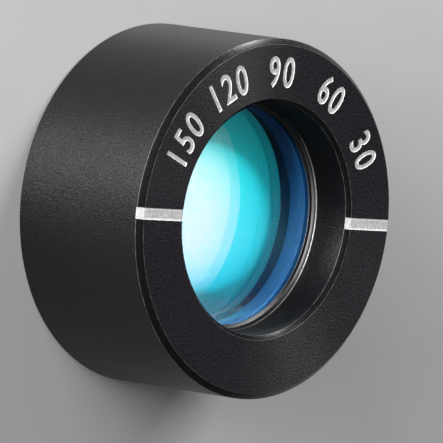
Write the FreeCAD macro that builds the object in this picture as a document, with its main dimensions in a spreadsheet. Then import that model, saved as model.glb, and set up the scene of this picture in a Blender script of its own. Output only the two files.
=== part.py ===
import FreeCAD, Part
import math
import os
import Sketcher

# A zero-order waveplate in its ring mount, for a one-inch optic holder.
# Two coated quartz plates lie on either side of a spacer ring in the stepped bore of a turned
# aluminium mount. A threaded ring holds the stack against the shoulder from the rear, and a bead
# of clear adhesive runs round the front plate where it meets the bore.
# The origin is the centre of the rear face. +Z is the optical axis, out of the marked front face,
# and the two axis marks lie along X.

doc = FreeCAD.newDocument("Waveplate")
vector = FreeCAD.Vector

# Driving dimensions, in millimetres. Radial sizes follow one another inwards from the barrel.
sizes = {
    "mount_diameter": 25.4,    # one inch, the size that optic holders take
    "mount_length": 12.0,
    "rim_chamfer": 0.4,        # outer rim of the front face
    "rear_chamfer": 0.2,
    "mount_wall": 2.4,         # barrel to the pitch line of the fine rear thread
    "thread_relief": 0.3,      # thread run past the seat of the retaining ring
    "mouth_chamfer": 0.4,      # lead-in at the rear end of the thread
    "thread_step": 0.25,       # radial, thread to plate seat, so that the plates pass the thread
    "recess_depth": 3.5,       # front face down to the shoulder that the front plate lies on
    "shoulder_width": 1.85,    # plate seat to the plain bore in front of the plates
    "aperture_chamfer": 0.3,
    "plate_clearance": 0.05,   # radial, between the seat and the plates or spacer
    "plate_thickness": 1.0,
    "plate_bevel": 0.15,       # ground on both rims of each plate
    "spacer_thickness": 1.5,   # the air gap between the plates
    "spacer_wall": 2.15,
    "spacer_chamfer": 0.05,
    "thread_clearance": 0.05,  # radial, between the ring's thread and the mount's
    "ring_thickness": 2.0,
    "ring_wall": 1.75,
    "ring_chamfer": 0.2,
    "slot_width": 1.5,         # spanner slots in the retaining ring
    "slot_depth": 1.0,
    "bond_leg": 0.4,           # adhesive bead, up the bore's wall
    "bond_foot": 0.22,         # and out over the plate
    "bond_hollow": 1.0,        # radius of its hollowed free surface
    "mark_width": 0.82,
    "mark_depth": 0.05,
    "mark_overrun": 0.15,      # marks run this far down the bore below its chamfer
    "tool_overshoot": 0.5,     # cutting shapes stand this far clear of the surface
}

sheet = doc.addObject("Spreadsheet::Sheet", "Sizes")
for row, (alias, value) in enumerate(sizes.items(), start=1):
    sheet.set(f"A{row}", alias.replace("_", " "))
    sheet.set(f"B{row}", str(value))
    sheet.setAlias(f"B{row}", alias)
doc.recompute()

# Radii and heights that follow from the driving dimensions, as expressions
mount_radius = "Sizes.mount_diameter / 2"
thread_radius = f"{mount_radius} - Sizes.mount_wall"
seat_radius = f"{thread_radius} - Sizes.thread_step"
aperture_radius = f"{seat_radius} - Sizes.shoulder_width"
plate_radius = f"{seat_radius} - Sizes.plate_clearance"
spacer_bore_radius = f"{plate_radius} - Sizes.spacer_wall"
ring_radius = f"{thread_radius} - Sizes.thread_clearance"
ring_bore_radius = f"{ring_radius} - Sizes.ring_wall"
bond_radius = f"{aperture_radius} - Sizes.bond_foot"
shoulder_height = "Sizes.mount_length - Sizes.recess_depth"
front_plate_height = f"{shoulder_height} - Sizes.plate_thickness"
spacer_height = f"{front_plate_height} - Sizes.spacer_thickness"
rear_plate_height = f"{spacer_height} - Sizes.plate_thickness"
ring_height = f"{rear_plate_height} - Sizes.ring_thickness"
thread_end_height = f"{rear_plate_height} + Sizes.thread_relief"


def measure(expression):
    """The present value of an expression, as a plain number."""
    return float(sheet.evalExpression(expression))


def origin_plane(body, role):
    return next(feature for feature in body.Origin.OriginFeatures if feature.Role == role)


def new_sketch(body, name, role="XY_Plane"):
    sketch = body.newObject("Sketcher::SketchObject", name)
    sketch.AttachmentSupport = (origin_plane(body, role), [""])
    sketch.MapMode = "FlatFace"
    return sketch


def fix_point(sketch, line, end, along, up):
    """Hold one end of a line at the distances along and up from the sketch's origin."""
    for kind, expression in (("DistanceX", along), ("DistanceY", up)):
        if expression == "0":
            axis = -2 if kind == "DistanceX" else -1
            sketch.addConstraint(Sketcher.Constraint("PointOnObject", line, end, axis))
            continue
        value = measure(expression)
        index = sketch.addConstraint(Sketcher.Constraint(kind, -1, 1, line, end, value))
        sketch.setExpression(f"Constraints[{index}]", expression)


def closed_outline(sketch, corners):
    """Straight lines through (along, up) pairs of expressions, back to the first."""
    points = [vector(measure(along), measure(up), 0) for along, up in corners]
    count = len(points)
    for index in range(count):
        sketch.addGeometry(Part.LineSegment(points[index], points[(index + 1) % count]), False)
    for index in range(count):
        sketch.addConstraint(Sketcher.Constraint("Coincident", index, 2, (index + 1) % count, 1))
    for index, (along, up) in enumerate(corners):
        fix_point(sketch, index, 1, along, up)


def turned_profile(body, name, corners):
    """A half-section for turning, from (radius, height) pairs of expressions."""
    sketch = new_sketch(body, name, "XZ_Plane")
    closed_outline(sketch, corners)
    return sketch


def revolve(body, sketch, name):
    revolution = body.newObject("PartDesign::Revolution", name)
    revolution.Profile = sketch
    revolution.ReferenceAxis = (sketch, ["V_Axis"])
    revolution.Angle = 360.0
    sketch.Visibility = False
    doc.recompute()
    return revolution


def circles_sketch(body, name, radii):
    """Concentric circles about the axis, each of a bound radius."""
    sketch = new_sketch(body, name)
    for radius in radii:
        circle = sketch.addGeometry(Part.Circle(vector(0, 0, 0), vector(0, 0, 1), measure(radius)), False)
        sketch.addConstraint(Sketcher.Constraint("Coincident", circle, 3, -1, 1))
        index = sketch.addConstraint(Sketcher.Constraint("Radius", circle, measure(radius)))
        sketch.setExpression(f"Constraints[{index}]", radius)
    return sketch


def pad(body, sketch, name, length):
    feature = body.newObject("PartDesign::Pad", name)
    feature.Profile = sketch
    feature.setExpression("Length", length)
    sketch.Visibility = False
    doc.recompute()
    return feature


def rim_edges(feature, rims):
    """Names of the circular edges that lie at the given (radius, height) pairs of expressions."""
    names = []
    for radius, height in rims:
        wanted = (measure(radius), measure(height))
        for index, edge in enumerate(feature.Shape.Edges, start=1):
            if not isinstance(edge.Curve, Part.Circle):
                continue
            found = (edge.Curve.Radius, edge.Curve.Center.z)
            if math.dist(found, wanted) < 1e-6:
                names.append(f"Edge{index}")
    if len(names) != len(rims):
        raise RuntimeError(f"{feature.Name}: {len(names)} of {len(rims)} rims found")
    return names


def chamfer_rims(body, base, name, rims, size):
    feature = body.newObject("PartDesign::Chamfer", name)
    feature.Base = (base, rim_edges(base, rims))
    feature.setExpression("Size", size)
    doc.recompute()
    return feature


def place(sub_part, label, height):
    sub_part.Label = label
    sub_part.setExpression("Placement.Base.z", height)
    return sub_part


def make_mount_turning():
    """The turned ring before marking: stepped bore, chamfered rims and thread mouth."""
    body = doc.addObject("PartDesign::Body", "MountTurning")
    section = turned_profile(body, "MountSection", [
        (thread_radius, "0"),
        (mount_radius, "0"),
        (mount_radius, "Sizes.mount_length"),
        (aperture_radius, "Sizes.mount_length"),
        (aperture_radius, shoulder_height),
        (seat_radius, shoulder_height),
        (seat_radius, thread_end_height),
        (thread_radius, thread_end_height),
    ])
    turning = revolve(body, section, "Turning")
    front_rim = [(mount_radius, "Sizes.mount_length")]
    turning = chamfer_rims(body, turning, "RimChamfer", front_rim, "Sizes.rim_chamfer")
    rear_rim = [(mount_radius, "0")]
    turning = chamfer_rims(body, turning, "RearChamfer", rear_rim, "Sizes.rear_chamfer")
    aperture_rim = [(aperture_radius, "Sizes.mount_length")]
    turning = chamfer_rims(body, turning, "ApertureChamfer", aperture_rim, "Sizes.aperture_chamfer")
    mouth_rim = [(thread_radius, "0")]
    chamfer_rims(body, turning, "MouthChamfer", mouth_rim, "Sizes.mouth_chamfer")
    return body


def make_mark_cutter():
    """A shallow skin that follows the front of the mount, kept only in a bar along X.

    The skin runs from the barrel over the outer chamfer, the face and the aperture's chamfer
    and a little way down the bore, at one depth throughout.
    """
    slant = "Sizes.mark_depth * sqrt(2)"
    corner = "Sizes.mark_depth * (sqrt(2) - 1)"
    floor = "Sizes.mount_length - Sizes.mark_depth"
    outside = f"{mount_radius} + Sizes.tool_overshoot"
    inside = f"{aperture_radius} - Sizes.tool_overshoot"
    above = "Sizes.mount_length + Sizes.tool_overshoot"
    chamfer_foot = "Sizes.mount_length - Sizes.rim_chamfer"
    bore_corner = "Sizes.mount_length - Sizes.aperture_chamfer"
    bore_end = f"{bore_corner} - Sizes.mark_overrun"
    skin = doc.addObject("PartDesign::Body", "MarkSkin")
    section = turned_profile(skin, "MarkSection", [
        (outside, f"{chamfer_foot} - {slant} - Sizes.tool_overshoot"),
        (outside, above),
        (inside, above),
        (inside, bore_end),
        (f"{aperture_radius} + Sizes.mark_depth", bore_end),
        (f"{aperture_radius} + Sizes.mark_depth", f"{bore_corner} - {corner}"),
        (f"{aperture_radius} + Sizes.aperture_chamfer + {corner}", floor),
        (f"{mount_radius} - Sizes.rim_chamfer - {corner}", floor),
    ])
    revolve(skin, section, "Skin")

    bar = doc.addObject("Part::Box", "MarkBar")
    bar.setExpression("Length", f"2 * ({outside})")
    bar.setExpression("Width", "Sizes.mark_width")
    bar.setExpression("Height", "Sizes.recess_depth + Sizes.tool_overshoot")
    bar.setExpression("Placement.Base.x", f"-({outside})")
    bar.setExpression("Placement.Base.y", "-Sizes.mark_width / 2")
    bar.setExpression("Placement.Base.z", shoulder_height)

    cutter = doc.addObject("Part::MultiCommon", "MarkCutter")
    cutter.Shapes = [skin, bar]
    return cutter


def make_mount_body():
    """The finished mount: the turning with both axis marks cut across its front."""
    mount = doc.addObject("Part::Cut", "MountBody")
    mount.Base = make_mount_turning()
    mount.Tool = make_mark_cutter()
    mount.Label = "mount_body"
    return mount


def make_plate(name, label, height):
    """A round quartz plate with a small ground bevel on both rims."""
    body = doc.addObject("PartDesign::Body", name)
    outline = circles_sketch(body, f"{name}Outline", [plate_radius])
    disc = pad(body, outline, f"{name}Disc", "Sizes.plate_thickness")
    rims = [(plate_radius, "0"), (plate_radius, "Sizes.plate_thickness")]
    chamfer_rims(body, disc, f"{name}Bevel", rims, "Sizes.plate_bevel")
    return place(body, label, height)


def make_spacer():
    """The ring that sets the air gap; its bore is the clear aperture."""
    body = doc.addObject("PartDesign::Body", "Spacer")
    outline = circles_sketch(body, "SpacerOutline", [plate_radius, spacer_bore_radius])
    ring = pad(body, outline, "SpacerRing", "Sizes.spacer_thickness")
    rims = [(spacer_bore_radius, "0"), (spacer_bore_radius, "Sizes.spacer_thickness")]
    chamfer_rims(body, ring, "SpacerChamfer", rims, "Sizes.spacer_chamfer")
    return place(body, "plate_spacer", spacer_height)


def make_retaining_ring():
    """The threaded ring behind the rear plate, slotted across its rear face for a spanner."""
    body = doc.addObject("PartDesign::Body", "RetainingRing")
    outline = circles_sketch(body, "RingOutline", [ring_radius, ring_bore_radius])
    ring = pad(body, outline, "RingBlank", "Sizes.ring_thickness")
    rims = [
        (radius, height)
        for radius in (ring_radius, ring_bore_radius)
        for height in ("0", "Sizes.ring_thickness")
    ]
    blank = chamfer_rims(body, ring, "RingChamfer", rims, "Sizes.ring_chamfer")

    slot_sketch = new_sketch(body, "SlotOutline")
    half_length = f"{ring_radius} + Sizes.tool_overshoot"
    half_width = "Sizes.slot_width / 2"
    closed_outline(slot_sketch, [
        (f"-({half_length})", f"-({half_width})"),
        (half_length, f"-({half_width})"),
        (half_length, half_width),
        (f"-({half_length})", half_width),
    ])
    slots = body.newObject("PartDesign::Pocket", "SpannerSlots")
    slots.Profile = slot_sketch
    slots.Reversed = True
    slots.setExpression("Length", "Sizes.slot_depth")
    slot_sketch.Visibility = False
    doc.recompute()
    if slots.Shape.Volume >= blank.Shape.Volume:
        raise RuntimeError("the spanner slots cut nothing")
    return place(body, "retaining_ring", ring_height)


def make_edge_bond():
    """The adhesive bead in the corner of bore and front plate, with a hollowed free surface."""
    body = doc.addObject("PartDesign::Body", "EdgeBond")
    sketch = new_sketch(body, "BondSection", "XZ_Plane")
    corner = vector(measure(aperture_radius), 0, 0)
    on_wall = vector(measure(aperture_radius), measure("Sizes.bond_leg"), 0)
    on_plate = vector(measure(bond_radius), 0, 0)

    # The hollow's centre stands off the middle of the chord, away from the corner
    half_chord = (on_wall - on_plate) * 0.5
    middle = on_plate + half_chord
    outwards = (middle - corner).normalize()
    reach = measure("Sizes.bond_hollow")
    centre = middle + outwards * math.sqrt(reach ** 2 - half_chord.Length ** 2)
    start = math.atan2(on_plate.y - centre.y, on_plate.x - centre.x)
    end = math.atan2(on_wall.y - centre.y, on_wall.x - centre.x)
    circle = Part.Circle(centre, vector(0, 0, 1), reach)

    foot = sketch.addGeometry(Part.LineSegment(on_plate, corner), False)
    wall = sketch.addGeometry(Part.LineSegment(corner, on_wall), False)
    hollow = sketch.addGeometry(Part.ArcOfCircle(circle, start, end), False)
    sketch.addConstraint(Sketcher.Constraint("Coincident", foot, 2, wall, 1))
    sketch.addConstraint(Sketcher.Constraint("Coincident", foot, 1, hollow, 1))
    sketch.addConstraint(Sketcher.Constraint("Coincident", wall, 2, hollow, 2))
    fix_point(sketch, foot, 1, bond_radius, "0")
    fix_point(sketch, wall, 1, aperture_radius, "0")
    fix_point(sketch, wall, 2, aperture_radius, "Sizes.bond_leg")
    index = sketch.addConstraint(Sketcher.Constraint("Radius", hollow, reach))
    sketch.setExpression(f"Constraints[{index}]", "Sizes.bond_hollow")
    revolve(body, sketch, "BondBead")
    return place(body, "edge_bond", shoulder_height)


sub_parts = [
    make_mount_body(),
    make_plate("FrontPlate", "front_plate", front_plate_height),
    make_spacer(),
    make_plate("RearPlate", "rear_plate", rear_plate_height),
    make_retaining_ring(),
    make_edge_bond(),
]
doc.recompute()

for item in doc.Objects:
    if "Invalid" in item.State or "Error" in item.State:
        raise RuntimeError(f"{item.Name} failed: {item.State}")
for item in sub_parts:
    if item.Shape.isNull() or not item.Shape.isValid():
        raise RuntimeError(f"{item.Label} has no valid shape")

os.makedirs("parts", exist_ok=True)
for item in sub_parts:
    item.Shape.exportStep(f"parts/{item.Label}.step")
    box = item.Shape.optimalBoundingBox()
    print(
        f"{item.Label}: {len(item.Shape.Solids)} solid, {item.Shape.Volume:.3f} mm3, "
        f"z {box.ZMin:.3f} to {box.ZMax:.3f}, across {box.XLength:.3f}"
    )
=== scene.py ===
import math
import random

import bmesh
import bpy
from mathutils import Matrix, Vector


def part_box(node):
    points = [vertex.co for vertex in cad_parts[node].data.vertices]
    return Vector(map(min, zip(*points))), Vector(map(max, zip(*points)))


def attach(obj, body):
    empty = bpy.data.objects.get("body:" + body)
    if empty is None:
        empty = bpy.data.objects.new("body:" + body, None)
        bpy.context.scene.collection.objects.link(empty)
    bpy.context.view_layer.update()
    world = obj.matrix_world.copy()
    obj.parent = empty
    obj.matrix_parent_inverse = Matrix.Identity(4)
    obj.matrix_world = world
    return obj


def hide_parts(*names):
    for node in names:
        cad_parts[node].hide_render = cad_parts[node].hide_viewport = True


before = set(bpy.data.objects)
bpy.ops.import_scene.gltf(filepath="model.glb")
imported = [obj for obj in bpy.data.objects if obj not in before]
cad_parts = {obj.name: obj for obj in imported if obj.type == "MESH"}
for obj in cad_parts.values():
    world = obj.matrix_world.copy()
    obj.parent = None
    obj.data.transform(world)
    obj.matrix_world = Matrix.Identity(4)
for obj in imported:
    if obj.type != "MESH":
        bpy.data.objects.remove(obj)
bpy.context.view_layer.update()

mm = 0.001


# Mount body. A ring turned from aluminium bar, bead-blasted and anodised black. Its stepped bore takes
# the plates and spacer from the rear, against a shoulder. A laser has cut the two axis marks and the
# angle numbers through the anodised layer, down to bright metal.

mount_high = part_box("mount_body")[1]
plate_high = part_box("front_plate")[1]
ring_low, ring_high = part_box("retaining_ring")
mount_radius = mount_high.x
mount_length = mount_high.z
shoulder_height = plate_high.z
aperture_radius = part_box("edge_bond")[1].x
running_clearance = 0.05 * mm
thread_relief = 0.3 * mm
seat_radius = plate_high.x + running_clearance
thread_radius = ring_high.x + running_clearance
thread_end = ring_high.z + thread_relief
rim_chamfer = 0.4 * mm
rear_chamfer = 0.2 * mm
aperture_chamfer = 0.3 * mm
mouth_chamfer = 0.4 * mm
edge_round = 0.045 * mm
turning_steps = 288
sharp_angle = math.radians(30)
blasted_face, blasted_wall, smooth_turned, worn_edge = range(4)


def rounded(section, radius, steps=4):
    """Turn each corner of a closed section into a small arc.

    The section holds (radius, height, finish of the surface that starts there). An arc on an outer corner
    takes the finish of a worn edge, whose lighter tone is in part painted highlight.
    """
    outline = []
    count = len(section)
    for index in range(count):
        corner = Vector(section[index][:2])
        back = (Vector(section[index - 1][:2]) - corner).normalized()
        ahead = (Vector(section[(index + 1) % count][:2]) - corner).normalized()
        half_angle = back.angle(ahead) / 2
        inwards = (back + ahead).normalized()
        centre = corner + inwards * radius / math.sin(half_angle)
        outer = back.cross(ahead) < 0
        for step in range(steps + 1):
            tilt = (math.pi - 2 * half_angle) * (step / steps - 0.5) * (1 if outer else -1)
            spoke = Vector((
                -inwards.x * math.cos(tilt) + inwards.y * math.sin(tilt),
                -inwards.x * math.sin(tilt) - inwards.y * math.cos(tilt),
            ))
            arc_finish = worn_edge if outer else section[index][2]
            finish = section[index][2] if step == steps else arc_finish
            outline.append((centre + spoke * radius, finish))
    return outline


def turned(name, outline, steps):
    """A ring made by turning an outline of (point, finish) about the optical axis."""
    shape = bmesh.new()
    rows = []
    for step in range(steps):
        angle = math.tau * step / steps
        rows.append([
            shape.verts.new((point.x * math.cos(angle), point.x * math.sin(angle), point.y))
            for point, finish in outline
        ])
    count = len(outline)
    for step in range(steps):
        here, there = rows[step], rows[(step + 1) % steps]
        for index in range(count):
            following = (index + 1) % count
            face = shape.faces.new((here[index], there[index], there[following], here[following]))
            face.material_index = outline[index][1]
    bmesh.ops.recalc_face_normals(shape, faces=shape.faces)
    return finished_object(name, shape)


def finished_object(name, shape):
    """An object of the scene, made from a shape that is complete."""
    mesh = bpy.data.meshes.new(name)
    shape.to_mesh(mesh)
    shape.free()
    piece = bpy.data.objects.new(name, mesh)
    bpy.context.scene.collection.objects.link(piece)
    return piece


mount_section = [
    (thread_radius + mouth_chamfer, 0, blasted_face),
    (mount_radius - rear_chamfer, 0, smooth_turned),
    (mount_radius, rear_chamfer, blasted_wall),
    (mount_radius, mount_length - rim_chamfer, smooth_turned),
    (mount_radius - rim_chamfer, mount_length, blasted_face),
    (aperture_radius + aperture_chamfer, mount_length, smooth_turned),
    (aperture_radius, mount_length - aperture_chamfer, blasted_wall),
    (aperture_radius, shoulder_height, smooth_turned),
    (seat_radius, shoulder_height, smooth_turned),
    (seat_radius, thread_end, smooth_turned),
    (thread_radius, thread_end, smooth_turned),
    (thread_radius, mouth_chamfer, smooth_turned),
]
mount = turned("mount_ring", rounded(mount_section, edge_round), turning_steps)

mark_width = 0.82 * mm
mark_depth = 0.04 * mm
mark_overrun = 0.02 * mm
mark_edge = 0.14 * mm
clear_of_surface = 0.5 * mm
core_lift = 0.004 * mm
weld_distance = 0.0005 * mm
flat_segment = 1
flat_finish, chamfer_finish = range(2)


def mark_floor(depth):
    """The surface line of the mount's front, from barrel to bore, sunk by a depth."""
    corner = depth * (math.sqrt(2) - 1)
    return [
        (mount_radius, mount_length - rim_chamfer - depth * math.sqrt(2)),
        (mount_radius - rim_chamfer - corner, mount_length - depth),
        (aperture_radius + aperture_chamfer + corner, mount_length - depth),
        (aperture_radius + depth, mount_length - aperture_chamfer - corner),
        (aperture_radius + depth, mount_length - aperture_chamfer - mark_overrun),
    ]


def across(shape, line, half_width, side):
    """One row of vertices per edge of a strip that runs along X, on the +X or -X side."""
    return [
        [shape.verts.new((side * along, offset, up)) for along, up in line]
        for offset in (-half_width, half_width)
    ]


def mark_cutter(shape, side):
    """A closed bar whose underside is the floor of an axis mark."""
    floor = mark_floor(mark_depth)
    first, last = floor[0], floor[-1]
    outline = [(first[0] + clear_of_surface, first[1] - clear_of_surface)] + floor + [
        (aperture_radius - clear_of_surface, last[1]),
        (aperture_radius - clear_of_surface, mount_length + clear_of_surface),
        (first[0] + clear_of_surface, mount_length + clear_of_surface),
    ]
    near, far = across(shape, outline, mark_width / 2, side)
    count = len(outline)
    for index in range(count):
        following = (index + 1) % count
        face = shape.faces.new((near[index], near[following], far[following], far[index]))
        face.material_index = flat_finish if index == flat_segment + 1 else chamfer_finish
    shape.faces.new(near)
    shape.faces.new(far)


def mark_core(shape, side):
    """A strip laid just over the floor of an axis mark, inside its bright border."""
    line = mark_floor(mark_depth - core_lift)
    near, far = across(shape, line, mark_width / 2 - mark_edge, side)
    for index in range(len(line) - 1):
        face = shape.faces.new((near[index], near[index + 1], far[index + 1], far[index]))
        face.material_index = flat_finish if index == flat_segment else chamfer_finish


digit_height = 2.1 * mm
digit_squeeze = 0.78
digit_advance = 1.42 * mm
digit_middle = 10.42 * mm
digit_swell = 0.05 * mm
digit_border = 0.07 * mm
font_cap_height = 0.7
scale_labels = {150: "150", 120: "120", 90: "90", 60: "60", 30: "30"}


def digit_mesh(character, inset, thickness):
    """A digit in Blender's own plain font, about its middle, with its strokes thinned by an inset."""
    curve = bpy.data.curves.new("digit", "FONT")
    curve.body = character
    curve.align_x = "CENTER"
    curve.size = digit_height / font_cap_height
    curve.offset = digit_swell - inset
    curve.extrude = thickness / 2
    curve.resolution_u = 5
    carrier = bpy.data.objects.new("digit", curve)
    bpy.context.scene.collection.objects.link(carrier)
    bpy.context.view_layer.update()
    mesh = bpy.data.meshes.new_from_object(carrier)
    bpy.data.objects.remove(carrier)
    mesh.transform(Matrix.Translation((0, -digit_height / 2, 0)))
    mesh.transform(Matrix.Diagonal((digit_squeeze, 1, 1, 1)))
    return mesh


def add_numbers(shape, inset, thickness, height):
    """Every label of the angle scale, digit by digit round the face."""
    step = digit_advance / digit_middle
    for degrees, label in scale_labels.items():
        for index, character in enumerate(label):
            angle = math.radians(degrees) - (index - (len(label) - 1) / 2) * step
            mesh = digit_mesh(character, inset, thickness)
            mesh.transform(
                Matrix.Rotation(angle - math.pi / 2, 4, "Z")
                @ Matrix.Translation((0, digit_middle, height))
            )
            shape.from_mesh(mesh)
            bpy.data.meshes.remove(mesh)


def cut(piece, cutter):
    """Take the cutter out of the piece. The cut faces keep the cutter's material."""
    modifier = piece.modifiers.new("cut", "BOOLEAN")
    modifier.operation = "DIFFERENCE"
    modifier.object = cutter
    modifier.solver = "EXACT"
    modifier.material_mode = "TRANSFER"
    bake_modifiers(piece)
    bpy.data.objects.remove(cutter)


def bake_modifiers(piece):
    """Give the piece the mesh that its modifiers make, in their place."""
    bpy.context.view_layer.update()
    evaluated = piece.evaluated_get(bpy.context.evaluated_depsgraph_get())
    mesh = bpy.data.meshes.new_from_object(evaluated)
    piece.modifiers.clear()
    piece.data = mesh


def smooth_between_edges(piece):
    """Smooth shading inside each form, sharp at its edges, with flat faces kept flat."""
    piece.data.polygons.foreach_set("use_smooth", [True] * len(piece.data.polygons))
    piece.data.set_sharp_from_angle(angle=sharp_angle)
    modifier = piece.modifiers.new("normals", "WEIGHTED_NORMAL")
    modifier.keep_sharp = True
    bake_modifiers(piece)


class Wire:
    """A shader socket that arithmetic can be done on."""

    def __init__(self, shading, socket):
        self.shading = shading
        self.socket = socket

    def combine(self, operation, first, second):
        return self.shading.node("ShaderNodeMath", {"operation": operation}, {0: first, 1: second})

    def __add__(self, other):
        return self.combine("ADD", self, other)

    def __radd__(self, other):
        return self.combine("ADD", other, self)

    def __sub__(self, other):
        return self.combine("SUBTRACT", self, other)

    def __rsub__(self, other):
        return self.combine("SUBTRACT", other, self)

    def __mul__(self, other):
        return self.combine("MULTIPLY", self, other)

    def __rmul__(self, other):
        return self.combine("MULTIPLY", other, self)


class Shading:
    """A node tree. Any node comes from node(): its type, settings and inputs."""

    def __init__(self, tree):
        self.tree = tree

    def node(self, kind, settings, inputs, output=0):
        made = self.tree.nodes.new(kind)
        for name, value in settings.items():
            if name == "stops":
                self.set_stops(made.color_ramp, value)
            else:
                setattr(made, name, value)
        for key, value in inputs.items():
            self.feed(made.inputs[key], value)
        if output is None:
            return {socket.name: Wire(self, socket) for socket in made.outputs}
        return Wire(self, made.outputs[output])

    def set_stops(self, ramp, stops):
        """Give a colour ramp its (place, shade) stops."""
        while len(ramp.elements) < len(stops):
            ramp.elements.new(1.0)
        for element, (place, shade) in zip(ramp.elements, stops):
            element.position = place
            element.color = (shade, shade, shade, 1)

    def feed(self, socket, value):
        """Link a wire to a socket, or set the socket to a constant."""
        if isinstance(value, Wire):
            self.tree.links.new(value.socket, socket)
        else:
            socket.default_value = value

    def mix(self, amount, first, second):
        """From the first colour to the second."""
        inputs = {0: amount, 6: first, 7: second}
        return self.node("ShaderNodeMix", {"data_type": "RGBA"}, inputs, 2)

    def ramp(self, value, stops):
        """A grey ramp through (place, shade) stops."""
        return self.node("ShaderNodeValToRGB", {"stops": stops}, {"Fac": value})


class Finish(Shading):
    """A material with its surface shader."""

    def __init__(self, name):
        self.material = bpy.data.materials.new(name)
        self.material.use_nodes = True
        super().__init__(self.material.node_tree)
        self.shader = self.tree.nodes["Principled BSDF"]

    def set(self, **values):
        """Constants and links for the surface shader, by its sockets' names."""
        for name, value in values.items():
            self.feed(self.shader.inputs[name.replace("_", " ")], value)

    def place(self):
        """Where a point is on the object, in metres."""
        return self.node("ShaderNodeTexCoord", {}, {}, "Object")

    def radius_and_height(self):
        """How far a point is from the optical axis, and how high, in metres."""
        parts = self.node("ShaderNodeSeparateXYZ", {}, {0: self.place()}, None)
        square = parts["X"] * parts["X"] + parts["Y"] * parts["Y"]
        return self.node("ShaderNodeMath", {"operation": "SQRT"}, {0: square}), parts["Z"]

    def noise(self, size, detail=2.0):
        """Noise whose features are about this size, in metres."""
        inputs = {"Vector": self.place(), "Scale": 1 / size, "Detail": detail}
        return self.node("ShaderNodeTexNoise", {}, inputs, "Fac")

    def bump(self, height, strength, distance):
        """Relief in the shading, for a height that runs from 0 to 1 over a distance in metres."""
        inputs = {"Strength": strength, "Distance": distance, "Height": height}
        self.set(Normal=self.node("ShaderNodeBump", {}, inputs))


blast_clouds = 1.6 * mm
blast_depth = 0.02 * mm
tool_ring_width = 0.06 * mm
scuff_size = 0.4 * mm
rub_size = 0.5 * mm
nick_size = 0.08 * mm
burn_size = 0.05 * mm
burn_patches = 0.22 * mm
tool_depth = 0.006 * mm


def anodised_finish(name, dark, light, roughness, specular, grain_size):
    """Bead-blasted, dyed anodising: fine pits, and a sheen drawn out along the axis by the turning."""
    finish = Finish(name)
    grain = finish.noise(grain_size)
    clouds = finish.noise(blast_clouds)
    pits = finish.ramp(grain, [(0.34, 0.0), (0.66, 1.0)])
    finish.set(
        Base_Color=finish.mix(pits * 0.8 + clouds * 0.2, dark, light),
        Roughness=roughness + (pits - 0.5) * 0.12 + (clouds - 0.5) * 0.08,
        Specular_IOR_Level=specular,
        Anisotropic=0.85,
        Anisotropic_Rotation=0.25,
    )
    finish.bump(pits, 0.6, blast_depth)
    return finish.material


def turned_finish(name, dark, light, roughness):
    """Anodising over a cut surface: darker and glossier than the blasted faces, in fine tool rings."""
    finish = Finish(name)
    radius, height = finish.radius_and_height()
    ring_place = finish.node("ShaderNodeCombineXYZ", {}, {"X": radius, "Y": height})
    rings = finish.node(
        "ShaderNodeTexNoise",
        {"noise_dimensions": "2D"},
        {"Vector": ring_place, "Scale": 1 / tool_ring_width, "Detail": 2.0},
    )
    scuffs = finish.noise(scuff_size, 4.0)
    finish.set(
        Base_Color=finish.mix(rings * 0.5 + scuffs * 0.5, dark, light),
        Roughness=roughness + (rings - 0.5) * 0.15 + (scuffs - 0.5) * 0.15,
        Specular_IOR_Level=0.25,
    )
    finish.bump(rings * 0.7 + scuffs * 0.3, 0.3, tool_depth)
    return finish.material


def worn_highlit_finish():
    """The broken edge of each rim, where handling has thinned the dye in places, and lighter in part as
    painted highlight.
    """
    finish = Finish("worn_edge")
    rubs = finish.ramp(finish.noise(rub_size, 4.0), [(0.35, 0.0), (0.7, 1.0)])
    nicks = finish.ramp(finish.noise(nick_size), [(0.6, 0.0), (0.7, 1.0)])
    dye = (0.015, 0.0145, 0.0155, 1)
    # The bare tone is partly wear and partly painted highlight along the rims.
    bare_and_highlit = (0.14, 0.14, 0.14, 1)
    finish.set(
        Base_Color=finish.mix(rubs * 0.6 + nicks * 0.4, dye, bare_and_highlit),
        Roughness=0.36 + rubs * 0.12,
        Specular_IOR_Level=0.5,
    )
    return finish.material


def laser_finish(name, dark, light):
    """Bare metal where a laser has burnt the dye away: pale, with a fine hatch of burnt spots."""
    finish = Finish(name)
    spots = finish.noise(burn_size, 3.0)
    patches = finish.noise(burn_patches)
    burnt = finish.ramp(spots * 0.6 + patches * 0.4, [(0.36, 0.0), (0.6, 1.0)])
    finish.set(
        Base_Color=finish.mix(burnt, dark, light),
        Roughness=0.5 + spots * 0.2,
        Metallic=0.15,
    )
    finish.bump(spots, 0.5, tool_depth)
    return finish.material


# The flat face is blasted a little coarser than the barrel and the bore. The barrel and the bore are the
# same anodising as the face, painted darker as painted shade. The floor of each axis mark is painted
# darker on the chamfers than on the face, as painted shade against the stronger light there.
face_anodised = anodised_finish(
    "face_anodised", (0.004, 0.0034, 0.0044, 1), (0.027, 0.0235, 0.029, 1), 0.45, 0.3, 0.15 * mm
)
# Painted shade: the same anodising as the face, with a darker colour for the barrel and the bore.
wall_anodised = anodised_finish(
    "wall_anodised", (0.0005, 0.0004, 0.0006, 1), (0.005, 0.0042, 0.0058, 1), 0.36, 0.34, 0.13 * mm
)
turned_anodised = turned_finish(
    "turned_anodised", (0.0015, 0.0015, 0.0016, 1), (0.005, 0.0048, 0.0052, 1), 0.26
)
laser_bright = laser_finish("laser_bright", (0.62, 0.62, 0.61, 1), (0.95, 0.95, 0.94, 1))
laser_core = laser_finish("laser_core", (0.36, 0.36, 0.35, 1), (0.7, 0.7, 0.69, 1))
# Painted shade: the mark's floor on the chamfers is coloured darker than on the face, against the
# stronger light there.
laser_chamfer = laser_finish("laser_chamfer", (0.27, 0.27, 0.265, 1), (0.46, 0.46, 0.45, 1))

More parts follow.
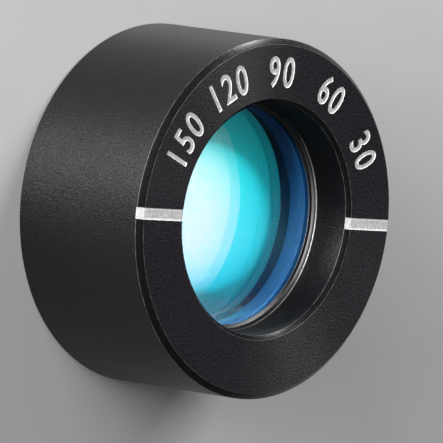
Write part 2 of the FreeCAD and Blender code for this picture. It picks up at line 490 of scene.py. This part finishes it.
cutter_shape = bmesh.new()
core_shape = bmesh.new()
for side in (-1, 1):
    mark_cutter(cutter_shape, side)
    mark_core(core_shape, side)
number_thickness = clear_of_surface
add_numbers(cutter_shape, 0, number_thickness, mount_length - mark_depth + number_thickness / 2)
add_numbers(core_shape, digit_border, 0, mount_length - mark_depth + core_lift)
bmesh.ops.remove_doubles(cutter_shape, verts=cutter_shape.verts, dist=weld_distance)
bmesh.ops.recalc_face_normals(cutter_shape, faces=cutter_shape.faces)

for finish in (face_anodised, wall_anodised, turned_anodised, worn_highlit_finish()):
    mount.data.materials.append(finish)
cutter = finished_object("mark_cutter", cutter_shape)
cutter.data.materials.append(laser_bright)
cutter.data.materials.append(laser_chamfer)
cut(mount, cutter)
smooth_between_edges(mount)
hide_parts("mount_body")
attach(mount, "root")

cores = finished_object("mark_cores", core_shape)
cores.data.materials.append(laser_core)
cores.data.materials.append(laser_chamfer)
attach(cores, "root")


# Mount thread. The fine internal thread behind the plates, single-point cut in the same turning. The
# retaining ring runs in it, and the turns behind the ring stay open to view.

thread_pitch = 0.5 * mm
thread_depth = 0.16 * mm
thread_root = 0.03 * mm
thread_start = mouth_chamfer / 2
thread_foot = 0.44 * thread_pitch
thread_crest = 0.12 * thread_foot
thread_steps = 180
run_in_turns = 0.5


def thread_ridge(name, first_height, last_height):
    """One helical ridge that stands inwards from the wall, and runs in and out over half a turn."""
    shape = bmesh.new()
    turns = (last_height - first_height - thread_pitch) / thread_pitch
    count = int(turns * thread_steps)
    rows = []
    for step in range(count + 1):
        angle = math.tau * step / thread_steps
        height = first_height + thread_pitch * (0.5 + step / thread_steps)
        fade = min(1, step / thread_steps / run_in_turns, (count - step) / thread_steps / run_in_turns)
        crest = thread_radius - thread_depth * fade
        section = [
            (thread_radius + thread_root, height - thread_foot),
            (crest, height - thread_crest),
            (crest, height + thread_crest),
            (thread_radius + thread_root, height + thread_foot),
        ]
        rows.append([
            shape.verts.new((radius * math.cos(angle), radius * math.sin(angle), up))
            for radius, up in section
        ])
    for here, there in zip(rows, rows[1:]):
        for index in range(len(here) - 1):
            shape.faces.new((here[index], here[index + 1], there[index + 1], there[index]))
    bmesh.ops.recalc_face_normals(shape, faces=shape.faces)
    return finished_object(name, shape)


thread = thread_ridge("mount_thread", thread_start, ring_low.z)
thread.data.materials.append(turned_anodised)
smooth_between_edges(thread)
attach(thread, "root")


# Quartz plates. Two discs of crystalline quartz, lapped and polished, with crossed axes and ground rims.
# The front plate's coating mirrors blue and green light and the rear plate's mostly red, so the optic is
# cyan where only the front plate mirrors the lamp, and nearly white where both do.

plate_bevel = 0.15 * mm
ground_grain = 0.05 * mm
ground_depth = 0.01 * mm
disc_steps = 240
polished, ground = range(2)


def polished_disc(name, radius, bottom, top):
    """A round plate: two flat faces, two bevels and a rim."""
    shape = bmesh.new()
    section = [
        (radius - plate_bevel, bottom),
        (radius, bottom + plate_bevel),
        (radius, top - plate_bevel),
        (radius - plate_bevel, top),
    ]
    circles = [
        [
            shape.verts.new((
                reach * math.cos(math.tau * step / disc_steps),
                reach * math.sin(math.tau * step / disc_steps),
                height,
            ))
            for step in range(disc_steps)
        ]
        for reach, height in section
    ]
    for circle in (circles[0], circles[-1]):
        shape.faces.new(circle).material_index = polished
    for below, above in zip(circles, circles[1:]):
        for step in range(disc_steps):
            following = (step + 1) % disc_steps
            facet = shape.faces.new((below[step], below[following], above[following], above[step]))
            facet.material_index = ground
            facet.smooth = True
    bmesh.ops.recalc_face_normals(shape, faces=shape.faces)
    for edge in shape.edges:
        edge.smooth = edge.calc_face_angle() < sharp_angle
    return finished_object(name, shape)


def coated_quartz(name, tint):
    """Clear quartz whose coating strengthens and colours what its faces mirror."""
    finish = Finish(name)
    finish.set(
        Base_Color=(0.97, 0.985, 0.98, 1),
        Roughness=0.0,
        Transmission_Weight=1.0,
        IOR=1.55,
        Specular_Tint=tint,
    )
    return finish.material


def ground_quartz():
    """Fine-ground glass edge: pale, matt and finely pitted."""
    finish = Finish("ground_quartz")
    pits = finish.noise(ground_grain, 3.0)
    finish.set(
        Base_Color=finish.mix(pits, (0.4, 0.42, 0.43, 1), (0.62, 0.64, 0.65, 1)),
        Roughness=0.55 + pits * 0.2,
    )
    finish.bump(pits, 0.6, ground_depth)
    return finish.material


ground_edge = ground_quartz()
front_coating = coated_quartz("front_coated_quartz", (0.0, 4.7, 5.7, 1))
rear_coating = coated_quartz("rear_coated_quartz", (5.2, 2.6, 2.8, 1))
for node, coating in (("front_plate", front_coating), ("rear_plate", rear_coating)):
    low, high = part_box(node)
    disc = polished_disc(node + "_disc", high.x, low.z, high.z)
    disc.data.materials.append(coating)
    disc.data.materials.append(ground_edge)
    disc.visible_shadow = False
    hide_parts(node)
    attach(disc, "root")


# Plate spacer. A thin turned ring between the plates, coloured blue. Its thickness is the air gap, and
# its bore's wall shows through the front plate as a blue band.

blue_anodised = anodised_finish(
    "blue_anodised", (0.006, 0.14, 0.43, 1), (0.02, 0.22, 0.62, 1), 0.4, 0.3, 0.09 * mm
)
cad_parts["plate_spacer"].material_slots[0].material = blue_anodised


# Retaining ring. A threaded ring, turned and anodised black, that holds the stack against the shoulder.
# A spanner turns it by the two slots milled across its rear face.

satin_anodised = anodised_finish(
    "satin_anodised", (0.008, 0.008, 0.009, 1), (0.022, 0.022, 0.024, 1), 0.34, 0.5, 0.08 * mm
)
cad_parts["retaining_ring"].material_slots[0].material = satin_anodised


# Edge bond. A bead of clear adhesive dispensed round the front plate, where it meets the bore. It wets
# both surfaces, so its free surface is hollow, with a rounded lip on the wall and a thin ragged film on
# the plate. On one side of the ring the lip, the hollow and the film's edge are painted pale and
# metallic, as painted highlight.

bond_low, bond_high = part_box("edge_bond")
bond_leg = bond_high.z - bond_low.z
bond_foot = 0.22 * mm
foot_share = 0.75
foot_waver = 0.12
bond_steps = 720
bond_seed = 7
# The lip is an arc of radius wall_lip against the wall, from lip_from round by lip_sweep, in degrees. How
# far its middle lies below the bead's top, and off the wall, are shares of that radius.
wall_lip = 0.068 * mm
lip_drop = 1.06
lip_waver = 0.05
lip_off_wall = 0.1
lip_from = 80
lip_sweep = 150
lip_parts = 7
hollow_pull = Vector((0.02, -0.02)) * mm
hollow_parts = 8
film_width = 0.44 * mm
film_share = 0.95
film_waver = 0.06
film_rags = 0.16
film_height = 0.015 * mm
haze_size = 0.2 * mm
haze_depth = 0.01 * mm
# The azimuth of the side that is painted with highlight, in degrees, and how the painted highlight fades
# away from it.
highlight_side = -5
highlight_spread = [(0.6, 0.0), (0.86, 0.3), (0.94, 1.0)]
corner_place = 0.5
# How pale the bead is painted on its lit side, as painted highlight on the lip and the hollow and as a
# pale line at the film's edge, at places in millimetres: less than corner_place is out on the plate, and
# more is up the wall.
bead_highlight_shades = [
    (0.03, 0.85), (0.1, 0.6), (0.13, 0.0), (0.34, 0.0), (0.43, 0.2),
    (0.55, 0.2), (0.63, 0.06), (0.77, 0.06), (0.8, 1.0), (0.92, 1.0),
]


def direction(azimuth, elevation):
    """Unit vector towards an azimuth and elevation, in degrees."""
    across_floor = math.cos(math.radians(elevation))
    return Vector((
        across_floor * math.cos(math.radians(azimuth)),
        across_floor * math.sin(math.radians(azimuth)),
        math.sin(math.radians(elevation)),
    ))


def bead_waves(chance, count, slowest, fastest):
    """Random ripples round the ring, as (turns, phase, size)."""
    return [
        (chance.randint(slowest, fastest), chance.uniform(0, math.tau), chance.uniform(0.3, 1))
        for _ in range(count)
    ]


def ripple(waves, angle):
    """The height of the waves at an angle round the ring, from -1 to 1."""
    return sum(size * math.sin(turns * angle + phase) for turns, phase, size in waves) / len(waves)


def ragged_bead(name):
    """The bead as a swept strip: a lip up the wall, a hollow, and a thin ragged film on the plate."""
    chance = random.Random(bond_seed)
    slow = bead_waves(chance, 9, 3, 22)
    quick = bead_waves(chance, 12, 60, 200)
    shape = bmesh.new()
    rows = []
    for step in range(bond_steps):
        angle = math.tau * step / bond_steps
        top = bond_leg - wall_lip * (lip_drop + lip_waver * ripple(slow, angle + 2))
        foot = bond_foot * (foot_share + foot_waver * ripple(slow, angle))
        rags = film_waver * ripple(slow, angle + 1) + film_rags * ripple(quick, angle)
        film = film_width * (film_share + rags)
        lip_centre = Vector((aperture_radius - lip_off_wall * wall_lip, shoulder_height + top))
        section = []
        for part in range(lip_parts + 1):
            turn = math.radians(lip_from + lip_sweep * part / lip_parts)
            section.append(lip_centre + wall_lip * Vector((math.cos(turn), math.sin(turn))))
        start = section[-1]
        end = Vector((aperture_radius - foot, shoulder_height + film_height))
        hollow = (start + end) / 2 + hollow_pull
        for part in range(1, hollow_parts + 1):
            share = part / hollow_parts
            section.append(start * (1 - share) ** 2 + hollow * 2 * share * (1 - share) + end * share ** 2)
        section.append(Vector((aperture_radius - film, shoulder_height + film_height)))
        section.append(Vector((aperture_radius - film - film_height, shoulder_height)))
        rows.append([
            shape.verts.new((
                min(point.x, aperture_radius) * math.cos(angle),
                min(point.x, aperture_radius) * math.sin(angle),
                max(point.y, shoulder_height),
            ))
            for point in section
        ])
    for step in range(bond_steps):
        here, there = rows[step], rows[(step + 1) % bond_steps]
        for index in range(len(here) - 1):
            shape.faces.new((here[index], there[index], there[index + 1], here[index + 1]))
    bmesh.ops.recalc_face_normals(shape, faces=shape.faces)
    return finished_object(name, shape)


def adhesive_finish():
    """Cured clear resin over dark metal, glossy, with painted highlight on its lit side: pale and
    metallic on the lip, the hollow and the film's edge.
    """
    finish = Finish("clear_adhesive")
    haze = finish.noise(haze_size, 3.0)
    radius, height = finish.radius_and_height()
    corner = aperture_radius + shoulder_height
    towards = finish.node(
        "ShaderNodeVectorMath",
        {"operation": "DOT_PRODUCT"},
        {0: finish.place(), 1: direction(highlight_side, 0) / aperture_radius},
        "Value",
    )
    across_bead = (radius + height - corner) * (1 / mm) + corner_place + (haze - 0.5) * 0.05
    highlight_mask = finish.ramp(towards, highlight_spread)
    painted_highlight = finish.ramp(across_bead, bead_highlight_shades) * highlight_mask
    clear = (0.005, 0.005, 0.006, 1)
    highlight_colour = (0.93, 0.91, 0.9, 1)
    # The pale colour and the metallic share on the lit side are painted highlight.
    finish.set(
        Base_Color=finish.mix(painted_highlight * (0.7 + haze * 0.6), clear, highlight_colour),
        Metallic=painted_highlight * 0.5,
        Roughness=0.24 + haze * 0.2,
        Specular_IOR_Level=0.6,
    )
    finish.bump(haze, 0.3, haze_depth)
    return finish.material


bond = ragged_bead("adhesive_bead")
bond.data.materials.append(adhesive_finish())
bond.data.polygons.foreach_set("use_smooth", [True] * len(bond.data.polygons))
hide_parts("edge_bond")
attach(bond, "root")


# Floor. A plain, matt and pale table top, painted evenly. It is far larger than the ring, which stands
# on it by its rear end and leaves its shadow there.

floor_size = 3.0
mottle_size = 6 * mm
pale_grey = (0.46, 0.46, 0.47, 1)
paler_grey = (0.49, 0.49, 0.5, 1)
floor_shape = bmesh.new()
bmesh.ops.create_grid(floor_shape, x_segments=1, y_segments=1, size=floor_size / 2)
floor = finished_object("floor", floor_shape)
floor_finish = Finish("pale_floor")
floor_finish.set(
    Base_Color=floor_finish.mix(floor_finish.noise(mottle_size), pale_grey, paler_grey),
    Roughness=0.7,
)
floor.data.materials.append(floor_finish.material)


# Camera. A long lens at the photograph's viewing angle, turned on its side so that the optical axis
# points to the right of the picture. The angles, the scale and the place of the face are fitted to the
# outlines of face, bore and barrel there.

front_centre = Vector((0, 0, mount_length))
view_azimuth = 176.22
view_elevation = 43.90
photo_side = 443
sensor_width = 36.0
pixels_per_mm = 14.30
face_centre_pixel = Vector((267.45, 219.59))
camera_distance = 805 * mm
camera_roll = 98.24

camera = bpy.data.cameras.new("camera")
camera.sensor_width = sensor_width
camera.lens = pixels_per_mm * camera_distance / mm * sensor_width / photo_side
camera.clip_start = 50 * mm
camera.clip_end = 10000 * mm
viewer = bpy.data.objects.new("camera", camera)
bpy.context.scene.collection.objects.link(viewer)

backwards = direction(view_azimuth, view_elevation)
level_right = Vector((0, 0, 1)).cross(backwards).normalized()
level_up = backwards.cross(level_right)
roll = math.radians(camera_roll)
picture_up = level_up * math.cos(roll) - level_right * math.sin(roll)
picture_right = picture_up.cross(backwards)
from_middle = (Vector((photo_side / 2, photo_side / 2)) - face_centre_pixel) / pixels_per_mm * mm
aim = front_centre + picture_right * from_middle.x - picture_up * from_middle.y
camera_turn = Matrix((picture_right, picture_up, backwards)).transposed()
viewer.matrix_world = Matrix.Translation(aim + backwards * camera_distance) @ camera_turn.to_4x4()
bpy.context.scene.camera = viewer
bpy.context.view_layer.update()


# Studio light. A large softbox on the side of the numbers, a wide strip on the camera's side that shines
# into the bore, two low strips that draw the sheen along the barrel, and a dim even surround.

surround_grey = (0.8, 0.8, 0.8, 1)
surround_strength = 0.14


def softbox(name, azimuth, elevation, distance, width, height, power):
    """A rectangular lamp that faces the front of the mount: degrees, metres and watts."""
    lamp = bpy.data.lights.new(name, "AREA")
    lamp.shape = "RECTANGLE"
    lamp.size = width
    lamp.size_y = height
    lamp.energy = power
    carrier = bpy.data.objects.new(name, lamp)
    bpy.context.scene.collection.objects.link(carrier)
    away = direction(azimuth, elevation)
    carrier.location = front_centre + away * distance
    carrier.rotation_euler = away.to_track_quat("Z", "Y").to_euler()
    lamp.cycles.use_multiple_importance_sampling = False


softbox("key_softbox", 60, 40, 0.5, 0.2, 0.2, 1.6)
softbox("recess_strip", 155, 21, 0.5, 0.6, 0.05, 2.9)
softbox("low_strip", 158, 4, 0.4, 0.2, 0.05, 2.7)
softbox("side_strip", 64, 4, 0.4, 0.08, 0.05, 1.1)

world = bpy.data.worlds.new("surround")
bpy.context.scene.world = world
world.use_nodes = True
background = world.node_tree.nodes["Background"]
background.inputs["Color"].default_value = surround_grey
background.inputs["Strength"].default_value = surround_strength


# Plate panel. A small softbox in the direction that the plates mirror to the camera. Its cloth is
# brightest and nearly white in front of the bulb, and dimmer and bluer towards its edges, which gives
# the coating its sweep from white to blue.

panel_distance = 600 * mm
panel_size = 44 * mm
panel_peak = 3.3
# How bright the cloth is, and how much red it has, by the distance from the bulb's middle. It gets
# greener up the cloth. Distances are shares of its width.
cloth_fade = [
    (0.03, 0.65), (0.08, 0.66), (0.122, 0.65), (0.147, 0.6), (0.171, 0.5), (0.181, 0.41),
    (0.194, 0.19), (0.22, 0.14), (0.25, 0.1), (0.3, 0.05), (0.42, 0.0),
]
red_fade = [(0.08, 0.82), (0.137, 0.6), (0.18, 0.38), (0.21, 0.2)]
cloth_rise = [(0.25, 0.0), (0.7, 1.0)]
lower_blue = (0, 0.83, 1.0, 1)
upper_blue = (0, 1.0, 0.92, 1)
cloth_middle = 0.5
spot_stretch = 1.12
# The panel hangs where its mirror image falls on this place of the picture. The coated faces count as
# one mirror, at a height between them.
panel_pixel = Vector((187, 215))
mirror_height = 7.2 * mm

virtual_distance = camera_distance + panel_distance
pixel_size = virtual_distance / camera_distance / pixels_per_mm * mm
off_axis = (panel_pixel - Vector((photo_side / 2, photo_side / 2))) * pixel_size
picture_offset = picture_right * off_axis.x - picture_up * off_axis.y
behind_plates = viewer.location + picture_offset - backwards * virtual_distance
mirrored = Vector((1, 1, -1))
panel_place = behind_plates * mirrored + Vector((0, 0, 2 * mirror_height))
panel_turn = Matrix((picture_right * mirrored, picture_up * mirrored, -backwards * mirrored)).transposed()

panel = bpy.data.lights.new("plate_panel", "AREA")
panel.shape = "SQUARE"
panel.size = panel_size
panel.energy = math.pi * panel_size ** 2
panel.use_nodes = True
cloth = Shading(panel.node_tree)
on_cloth = cloth.node("ShaderNodeNewGeometry", {}, {}, "Parametric")
squeezed = cloth.node(
    "ShaderNodeVectorMath", {"operation": "MULTIPLY"}, {0: on_cloth, 1: (1, 1 / spot_stretch, 1)}
)
from_bulb = cloth.node(
    "ShaderNodeVectorMath",
    {"operation": "DISTANCE"},
    {0: squeezed, 1: (cloth_middle, cloth_middle / spot_stretch, 0)},
    "Value",
)
up_cloth = cloth.node("ShaderNodeSeparateXYZ", {}, {0: on_cloth}, "Y")
emission = panel.node_tree.nodes["Emission"]
cloth.feed(emission.inputs["Strength"], cloth.ramp(from_bulb, cloth_fade) * panel_peak)
blues = cloth.mix(cloth.ramp(up_cloth, cloth_rise), lower_blue, upper_blue)
hue = cloth.node("ShaderNodeSeparateColor", {}, {0: blues}, None)
red = cloth.ramp(from_bulb, red_fade)
glow = cloth.node("ShaderNodeCombineColor", {}, {0: red, 1: hue["Green"], 2: hue["Blue"]})
cloth.feed(emission.inputs["Color"], glow)
hung_panel = bpy.data.objects.new("plate_panel", panel)
bpy.context.scene.collection.objects.link(hung_panel)
hung_panel.matrix_world = Matrix.Translation(panel_place) @ panel_turn.to_4x4()

bpy.context.scene.view_settings.view_transform = "Standard"
